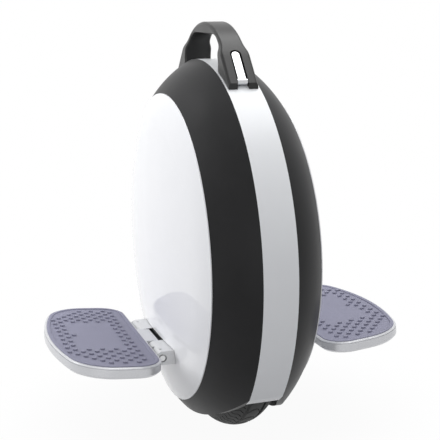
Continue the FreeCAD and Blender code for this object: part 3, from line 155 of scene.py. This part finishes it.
looks = {
    # white ABS, moulded and polished: clear reflections over a clean white, and no grain
    "polishedWhiteAbs": {"colours": ("#f2f3f6", "#f3f4f7"), "driftMm": 60, "roughness": (0.0, 0.01),
                         "shader": {"IOR": 1.54, "Specular IOR Level": 0.2}},
    # white ABS from a lightly blasted mould: a broad, soft sheen
    "satinWhiteAbs": {"colours": ("#eef0f3", "#f0f2f5"), "driftMm": 50, "roughness": (0.30, 0.36),
                      "grainMm": 0.8, "relief": 0.04, "reliefMm": 0.05,
                      "shader": {"IOR": 1.54, "Specular IOR Level": 0.4}},
    # black ABS with a fine spark texture: dark, with wide dim highlights
    "satinBlackAbs": {"colours": ("#2b2b2c", "#2e2e2f"), "driftMm": 40, "roughness": (0.36, 0.42),
                      "grainMm": 0.6, "relief": 0.05, "reliefMm": 0.04,
                      "shader": {"IOR": 1.54, "Specular IOR Level": 0.07}},
    # black soft-touch coat over the handle's core: fine grain and a broad grey sheen
    "softTouchBlack": {"colours": ("#1c1c1c", "#212121"), "driftMm": 25, "roughness": (0.30, 0.36),
                       "grainMm": 0.7, "relief": 0.08, "reliefMm": 0.05,
                       "shader": {"IOR": 1.5, "Specular IOR Level": 0.35}},
    # plain black polypropylene, moulded and left dull
    "dullBlackPolypropylene": {"colours": ("#141414", "#1a1a1a"), "driftMm": 30,
                               "roughness": (0.5, 0.6), "grainMm": 0.7, "relief": 0.15,
                               "reliefMm": 0.08,
                               "shader": {"IOR": 1.49, "Specular IOR Level": 0.35}},
    # chrome plate on die-cast zinc
    "chromePlate": {"colours": ("#c2c3c5", "#c8c9cb"), "driftMm": 12, "roughness": (0.08, 0.12),
                    "grainMm": 2, "relief": 0.02, "reliefMm": 0.03, "shader": {"Metallic": 1.0}},
    # die-cast aluminium under satin silver paint, a fine flake in it
    "silverPaintedCasting": {"colours": ("#cbccd0", "#d1d2d5"), "driftMm": 1.4,
                             "roughness": (0.30, 0.38), "grainMm": 0.5, "relief": 0.05,
                             "reliefMm": 0.04,
                             "shader": {"Metallic": 0.55, "Coat Weight": 0.25,
                                        "Coat Roughness": 0.15}},
    # hinge castings, painted paler, with painted shade coloured onto the strip between the ears
    "greyPaintedCasting": {"colours": ("#d2d3d5", "#d9dadc"), "driftMm": 1.6,
                           "roughness": (0.34, 0.42), "grainMm": 0.6, "relief": 0.05,
                           "reliefMm": 0.04,
                           "shadeStripHalfMm": 23.45, "paintedShadeColour": "#1f2022",
                           "shader": {"Metallic": 0.3, "Coat Weight": 0.2, "Coat Roughness": 0.2}},
    # moulded nitrile rubber, grey-violet, dry to the touch
    "greyVioletRubber": {"colours": ("#7f7f91", "#838395"), "driftMm": 14,
                         "roughness": (0.62, 0.72), "grainMm": 0.5, "relief": 0.20,
                         "reliefMm": 0.10,
                         "shader": {"IOR": 1.52, "Specular IOR Level": 0.3}},
    # carbon black tread rubber with a dusty bloom
    "treadRubber": {"colours": ("#1e1f1f", "#282929"), "driftMm": 18, "roughness": (0.60, 0.74),
                    "grainMm": 0.7, "relief": 0.25, "reliefMm": 0.12,
                    "shader": {"IOR": 1.52, "Specular IOR Level": 0.3}},
    # machined and cast aluminium of the hub and frame
    "machinedAluminium": {"colours": ("#a9abae", "#b8babd"), "driftMm": 8,
                          "roughness": (0.32, 0.42), "grainMm": 0.6, "relief": 0.08,
                          "reliefMm": 0.04, "shader": {"Metallic": 1.0}},
    # zinc-plated steel fasteners and shafts
    "zincPlatedSteel": {"colours": ("#a8aaac", "#bfc0c0"), "driftMm": 5, "roughness": (0.25, 0.36),
                        "grainMm": 0.8, "relief": 0.05, "reliefMm": 0.03,
                        "shader": {"Metallic": 1.0}},
    # laminated electrical steel, dark and slightly oily
    "laminatedSteel": {"colours": ("#4a4b4e", "#5a5b5e"), "driftMm": 6, "roughness": (0.4, 0.5),
                       "grainMm": 0.5, "relief": 0.15, "reliefMm": 0.08,
                       "shader": {"Metallic": 0.9}},
    # plated brass of the charge contacts
    "platedBrass": {"colours": ("#c7a35a", "#d8b56c"), "driftMm": 2, "roughness": (0.2, 0.3),
                    "grainMm": 0.8, "relief": 0.05, "reliefMm": 0.02, "shader": {"Metallic": 1.0}},
    # enamelled copper wire
    "varnishedCopper": {"colours": ("#a3522a", "#c06a38"), "driftMm": 3, "roughness": (0.25, 0.35),
                        "grainMm": 0.9, "relief": 0.4, "reliefMm": 0.2,
                        "shader": {"Metallic": 1.0}},
    # PVC shrink wrap of the cells
    "blueShrinkWrap": {"colours": ("#1d3a72", "#26488a"), "driftMm": 20, "roughness": (0.25, 0.35),
                       "grainMm": 6, "relief": 0.15, "reliefMm": 0.3, "shader": {"IOR": 1.53}},
    # green solder mask over glass laminate
    "greenSolderMask": {"colours": ("#1c4a2c", "#256038"), "driftMm": 6, "roughness": (0.3, 0.4),
                        "grainMm": 1.5, "relief": 0.1, "reliefMm": 0.05, "shader": {"IOR": 1.55}},
    # grey ABS of the power button
    "satinGreyAbs": {"colours": ("#8b8c8f", "#949598"), "driftMm": 8, "roughness": (0.35, 0.42),
                     "grainMm": 0.5, "relief": 0.08, "reliefMm": 0.04, "shader": {"IOR": 1.54}},
}
finishOf = {
    "polishedWhiteAbs": ["left_side_panel", "right_side_panel"],
    "satinWhiteAbs": ["centre_band"],
    "satinBlackAbs": ["left_ring_shell", "right_ring_shell"],
    "softTouchBlack": ["carry_handle"],
    "dullBlackPolypropylene": ["left_wheel_liner", "right_wheel_liner", "power_switch",
                               "charge_socket", "charge_cap", "inner_tube", "board_capacitors"],
    "chromePlate": ["front_handle_link", "rear_handle_link", "handle_pins", "left_hinge_pin",
                    "right_hinge_pin"],
    "silverPaintedCasting": ["left_pedal_tray", "right_pedal_tray"],
    "greyPaintedCasting": ["left_hinge_bracket", "right_hinge_bracket"],
    "greyVioletRubber": ["left_pedal_pad", "right_pedal_pad"],
    "treadRubber": ["tyre"],
    "machinedAluminium": ["wheel_rim", "left_motor_cover", "right_motor_cover", "left_hanger_plate",
                          "right_hanger_plate", "top_bridge", "handle_anchor", "heat_sink"],
    "zincPlatedSteel": ["tube_valve", "cover_screws", "left_wheel_bearing", "right_wheel_bearing",
                        "axle", "axle_spacers", "axle_washers", "axle_nuts", "bridge_screws",
                        "handle_screws", "bracket_bolts", "battery_straps", "charge_cap_pin",
                        "pin_set_screws", "motor_magnets"],
    "laminatedSteel": ["motor_stator"],
    "platedBrass": ["charge_contacts"],
    "varnishedCopper": ["motor_windings"],
    "blueShrinkWrap": ["left_battery", "right_battery"],
    "greenSolderMask": ["control_board"],
    "satinGreyAbs": ["power_button"],
}
materials = {name: newMaterial(name, look) for name, look in looks.items()}
for name, members in finishOf.items():
    for member in members:
        nodes[member].data.materials.clear()
        nodes[member].data.materials.append(materials[name])
print("materials made,", len(materials))


# Pedal pads: a raised lip round the edge and staggered studs with flat tops
# lengths in mm, tilt and smoothing in degrees
padLook = {
    "halfLength": 112.6, "start": 11, "end": 109.2, "innerCorner": 26, "outerCorner": 44,
    "bow": 300, "cornerSteps": 14, "bowSteps": 42, "smoothing": 40,
    "foot": 5.8, "top": 8.0, "lip": 1.0, "lipWidth": 3.8, "edge": 0.5, "lipSlope": 0.25,
    "studRadius": 2.5, "studHeight": 1.7, "studRound": 0.3, "studInset": 15.4, "column": 7.02,
    "halfPitch": 7.55, "studSides": 24, "pinPlace": 79.4, "pinHeight": 95.5, "tilt": 5.4,
    # how far in the middle point of a rounded edge lies, as a share of its radius
    "roundShare": 0.3,
}
# each run: its column, then the first and last stud in half pitches from the middle
studRuns = [(0, 0, 12), (1, 1, 13), (2, 8, 12), (3, 7, 13), (4, 8, 12), (5, 7, 13), (6, 8, 12),
            (7, 7, 11), (8, 0, 0), (8, 8, 10), (9, 1, 9), (10, 0, 8)]


def padLoop(inset):
    # the pad's outline moved in by inset: inner edge, round corners and a bowed outer edge
    p = padLook
    count = p["cornerSteps"]
    half, start, end = p["halfLength"] - inset, p["start"] + inset, p["end"] - inset
    inner, outer, bow = p["innerCorner"] - inset, p["outerCorner"] - inset, p["bow"] - inset
    bowCentre = end - bow
    rise = math.sqrt((bow - outer) ** 2 - (half - outer) ** 2)
    lean = math.degrees(math.atan2(rise, half - outer))
    loop = arcPoints((half - inner, start + inner), inner, -90, 0, count)
    loop += arcPoints((half - outer, bowCentre + rise), outer, 0, lean, count)
    loop += arcPoints((0, bowCentre), bow, lean, 180 - lean, p["bowSteps"])[1:-1]
    loop += arcPoints((outer - half, bowCentre + rise), outer, 180 - lean, 180, count)
    loop += arcPoints((inner - half, start + inner), inner, 180, 270, count)
    return loop


def studPlaces():
    # the studs of each run on both sides of the middle, and once where they lie in it
    p = padLook
    places = []
    for column, first, last in studRuns:
        out = p["start"] + p["studInset"] + column * p["column"]
        for steps in range(first, last + 1, 2):
            sides = (-1, 1) if steps else (1,)
            places += [(side * steps * p["halfPitch"], out) for side in sides]
    return places


def addLoops(verts, faces, loops):
    # a skin over rings of points, with its two ends closed
    base, size = len(verts), len(loops[0])
    for loop in loops:
        verts.extend(loop)
    for row in range(len(loops) - 1):
        for i in range(size):
            j = (i + 1) % size
            a, b = base + row * size, base + (row + 1) * size
            faces.append((a + i, a + j, b + j, b + i))
    faces.append(tuple(range(base, base + size)))
    faces.append(tuple(range(len(verts) - size, len(verts))))


def makePad(sideName, side):
    p = padLook
    lip, edge, top, width = p["top"] + p["lip"], p["edge"], p["top"], p["lipWidth"]
    eased = edge * p["roundShare"]
    steps = [(0, p["foot"]), (0, lip - edge), (eased, lip - eased), (edge, lip),
             (width - edge, lip), (width - eased, lip - eased), (width, lip - edge),
             (width + p["lipSlope"], top)]
    verts, faces = [], []
    addLoops(verts, faces, [[(x, y, level) for x, y in padLoop(inset)] for inset, level in steps])
    radius, high, soft = p["studRadius"], top + p["studHeight"], p["studRound"]
    eased = soft * p["roundShare"]
    profile = [(radius, top - soft), (radius, high - soft), (radius - eased, high - eased),
               (radius - soft, high)]
    for x, y in studPlaces():
        rings = [(arcPoints((x, y), wide, 0, 360, p["studSides"])[:-1], level)
                 for wide, level in profile]
        addLoops(verts, faces, [[at + (level,) for at in ring] for ring, level in rings])
    turned = Matrix.Rotation(math.radians(side * p["tilt"]), 4, "X")
    place = Matrix.Translation((0, side * p["pinPlace"] * mm, p["pinHeight"] * mm)) @ turned
    verts = [place @ Vector((x * mm, side * y * mm, z * mm)) for x, y, z in verts]
    pad = newPiece(f"{sideName}TreadPad", verts, faces, f"{sideName}_pedal", "pad_rubber",
                   f"{sideName}_pedal_pad")
    smoothBy(pad, p["smoothing"])
    pad.data.materials.append(materials["greyVioletRubber"])


for sideName, side in (("left", 1), ("right", -1)):
    makePad(sideName, side)
print("pads made")


# Tyre: crown grooves, curved sipes and zigzag shoulders cut as relief
# lengths in mm, but leans, sipes, their walls and shifts in pitches round the wheel
tyreLook = {
    "axleHeight": 178, "radius": 178, "crown": 28, "shoulderDrop": 7.5, "shoulderHalf": 19,
    "waistDrop": 26, "half": 26.5, "side": 30, "bead": 127, "beadHalf": 19.8, "beadLip": 5,
    "flange": 135.3, "pitches": 104, "columns": 10, "crownSteps": 52, "sideSteps": 10,
    "footSteps": 7, "smoothing": 35,
    "grooveAt": 8, "grooveHalf": 1.1, "grooveWall": 0.35, "grooveDepth": 2.0,
    "sipeDepth": 1.3, "crownEnd": 6.4, "crownLean": 1.0, "crownEvery": 2, "crownSipe": 0.06,
    "crownWall": 0.025,
    "zigStart": 9.6, "zigEnd": 21, "zigStep": 4.2, "zigLean": 0.42, "zigSipe": 0.10,
    "zigWall": 0.04, "zigShift": (0.2, 0.7),
}


def bulged(start, end, radius, count):
    # arc from start to end that bows away from the wheel's middle
    sx, sy = start
    ex, ey = end
    span = math.dist(start, end)
    drop = math.sqrt(radius ** 2 - span ** 2 / 4)
    nx, ny = -(ey - sy) / span, (ex - sx) / span
    cx, cy = (sx + ex) / 2 - nx * drop, (sy + ey) / 2 - ny * drop
    a = math.degrees(math.atan2(sy - cy, sx - cx))
    b = math.degrees(math.atan2(ey - cy, ex - cx))
    if b - a > 180:
        b -= 360
    if a - b > 180:
        b += 360
    return arcPoints((cx, cy), radius, a, b, count)


def treadLean(across):
    # how far the tread's columns run ahead round the wheel, in pitches, so that sipes follow them
    t = tyreLook
    reach = min(abs(across), t["zigEnd"])
    if reach < t["crownEnd"]:
        return t["crownLean"] * (reach / t["crownEnd"]) ** 2
    if reach < t["zigStart"]:
        share = (reach - t["crownEnd"]) / (t["zigStart"] - t["crownEnd"])
        return t["crownLean"] + share * (t["zigLean"] - t["crownLean"])
    # to and fro by one step each, a triangle wave
    return t["zigLean"] * abs((reach - t["zigStart"]) / t["zigStep"] % 2 - 1)


def treadDepth(across, turn):
    # how deep the tread is cut, across in mm from the middle and turn in pitches along it
    t = tyreLook
    reach = abs(across)
    inGroove = t["grooveHalf"] - abs(reach - t["grooveAt"])
    if inGroove > 0:
        return t["grooveDepth"] * min(1, inGroove / t["grooveWall"])
    if reach < t["crownEnd"]:
        near = abs(turn / t["crownEvery"] % 1 - 0.5)
        return t["sipeDepth"] * max(0, min(1, (t["crownSipe"] - near) / t["crownWall"]))
    if t["zigStart"] < reach < t["zigEnd"]:
        near = abs((turn + t["zigShift"][across > 0]) % 1 - 0.5)
        return t["sipeDepth"] * max(0, min(1, (t["zigSipe"] - near) / t["zigWall"]))
    return 0.0


def makeTyre():
    # a closed ring: from bead to shoulder, over the crown, down the other side, along the bead
    t = tyreLook
    shoulder = (t["radius"] - t["shoulderDrop"], t["shoulderHalf"])
    waist = (t["radius"] - t["waistDrop"], t["half"])
    half = [(t["bead"], t["beadHalf"]), (t["flange"], t["beadHalf"])]
    half += bulged(half[-1], waist, t["side"], t["footSteps"])[1:]
    half += bulged(waist, shoulder, t["side"], t["sideSteps"])[1:]
    crown = bulged(shoulder, (shoulder[0], -shoulder[1]), t["crown"], t["crownSteps"])[1:-1]
    inside = [(t["bead"], t["beadLip"] - t["beadHalf"]), (t["bead"], t["beadHalf"] - t["beadLip"])]
    profile = half + crown + [(r, -y) for r, y in reversed(half)] + inside
    size, around = len(profile), t["pitches"] * t["columns"]
    verts, faces = [], []
    for k in range(around):
        turn = k / t["columns"]
        for r, y in profile:
            angle = 2 * math.pi * (turn - treadLean(y)) / t["pitches"]
            if r > waist[0]:
                r = r - treadDepth(y, turn)
            level = t["axleHeight"] - r * math.cos(angle)
            verts.append((r * mm * math.sin(angle), y * mm, level * mm))
    for k in range(around):
        n = (k + 1) % around
        for i in range(size):
            j = (i + 1) % size
            faces.append((k * size + i, n * size + i, n * size + j, k * size + j))
    tyre = newPiece("treadedTyre", verts, faces, "wheel", "tyre_rubber", "tyre")
    smoothBy(tyre, t["smoothing"])
    tyre.data.materials.append(materials["treadRubber"])


makeTyre()
print("tyre made")


# Studio: pale floor, soft lamps and the camera
studio = {
    "paper": "#8e8e90", "white": "#ffffff", "floorRadius": 12.0, "floorSides": 96,
    "floorGlow": 0.95, "glowFrom": 0.10, "glowTo": 0.30, "skyLow": 0.50, "skyHigh": 0.54,
    "lamps": {
        "topLamp": {"at": (-0.10, 0.30, 1.95), "size": 1.4, "power": 17, "mirrored": True},
        "keyLamp": {"at": (-1.25, -1.45, 0.90), "size": 1.3, "power": 27, "mirrored": False},
        "rimLamp": {"at": (-0.98, -1.10, 1.55), "size": 0.5, "power": 2.2, "mirrored": True},
        "fillLamp": {"at": (1.60, -1.00, 0.40), "size": 1.2, "power": 5, "mirrored": True},
        "backLamp": {"at": (-1.20, 1.30, 1.40), "size": 1.4, "power": 17, "mirrored": False},
    },
    "aim": (0.0, 0.0, 0.20),
}


def seenDirectly(tree):
    # 1 for rays of the picture itself and for mirrors and glass, 0 for light that falls on things
    path = put(tree, "LightPath")
    seen = put(tree, "Math",
               [(0, path.outputs["Is Camera Ray"]), (1, path.outputs["Is Glossy Ray"])],
               operation="MAXIMUM")
    return put(tree, "Math", [(0, seen.outputs[0]), (1, path.outputs["Is Transmission Ray"])],
               operation="MAXIMUM").outputs[0]


def makeFloor():
    bm = bmesh.new()
    bmesh.ops.create_circle(bm, cap_ends=True, segments=studio["floorSides"],
                            radius=studio["floorRadius"])
    mesh = bpy.data.meshes.new("studioFloor")
    bm.to_mesh(mesh)
    bm.free()
    floor = bpy.data.objects.new("studioFloor", mesh)
    scene.collection.objects.link(floor)
    # matt paper that takes shadows near the object, and glows plain white away from it
    material = bpy.data.materials.new("backdropPaper")
    material.use_nodes = True
    tree = material.node_tree
    tree.nodes.clear()
    away = put(tree, "VectorMath", [(0, put(tree, "TexCoord").outputs["Object"])],
               operation="LENGTH")
    glowing = put(tree, "MapRange", [("Value", away.outputs["Value"])],
                  [("From Min", studio["glowFrom"]), ("From Max", studio["glowTo"]),
                   ("To Min", studio["floorGlow"]), ("To Max", 1.0)],
                  interpolation_type="SMOOTHSTEP")
    share = put(tree, "Math", [(0, seenDirectly(tree)), (1, glowing.outputs["Result"])],
                operation="MULTIPLY")
    paper = put(tree, "BsdfDiffuse", (), [("Color", linear(studio["paper"]))])
    glow = put(tree, "Emission", (), [("Color", linear(studio["white"])), ("Strength", 1.0)])
    mixed = put(tree, "MixShader",
                [(0, share.outputs[0]), (1, paper.outputs[0]), (2, glow.outputs[0])])
    put(tree, "OutputMaterial", [("Surface", mixed.outputs[0])])
    mesh.materials.append(material)


def makeWorld():
    # a white backdrop whose light on things is a little stronger from above
    world = bpy.data.worlds.new("studioWorld")
    scene.world = world
    world.use_nodes = True
    tree = world.node_tree
    tree.nodes.clear()
    way = put(tree, "SeparateXYZ", [("Vector", put(tree, "TexCoord").outputs["Generated"])])
    light = put(tree, "MapRange", [("Value", way.outputs["Z"])],
                [("To Min", studio["skyLow"]), ("To Max", studio["skyHigh"])])
    strength = put(tree, "Math", [(0, seenDirectly(tree)), (1, light.outputs["Result"])],
                   operation="MAXIMUM")
    sky = put(tree, "Background", [("Strength", strength.outputs[0])],
              [("Color", linear(studio["white"]))])
    put(tree, "OutputWorld", [("Surface", sky.outputs[0])])


def makeLamps():
    # round area lamps, all turned to the middle of the object
    for name, lamp in studio["lamps"].items():
        data = bpy.data.lights.new(name, "AREA")
        data.shape, data.size, data.energy = "DISK", lamp["size"], lamp["power"]
        item = bpy.data.objects.new(name, data)
        scene.collection.objects.link(item)
        item.location = lamp["at"]
        item.visible_glossy = lamp["mirrored"]
        way = Vector(studio["aim"]) - item.location
        item.rotation_euler = way.to_track_quat("-Z", "Y").to_euler()


# the photo's camera: place in metres, angles in degrees, lens and sensor in mm
view = {"at": (0.9639, -0.2974, 0.4070), "azimuth": 72.53, "elevation": 10.24, "roll": -1.28,
        "lens": 76.22, "sensor": 36.0}


def makeCamera():
    a, e = math.radians(view["azimuth"]), math.radians(view["elevation"])
    back = Vector((math.sin(a) * math.cos(e), -math.cos(a) * math.cos(e), math.sin(e)))
    right = Vector((math.cos(a), math.sin(a), 0))
    turned = Matrix((right, back.cross(right), back)).transposed().to_4x4()
    data = bpy.data.cameras.new("photoCamera")
    data.lens, data.sensor_width = view["lens"], view["sensor"]
    camera = bpy.data.objects.new("photoCamera", data)
    scene.collection.objects.link(camera)
    camera.matrix_world = (Matrix.Translation(view["at"]) @ turned
                           @ Matrix.Rotation(math.radians(view["roll"]), 4, "Z"))
    scene.camera = camera


makeFloor()
makeWorld()
makeLamps()
makeCamera()
print("studio made")
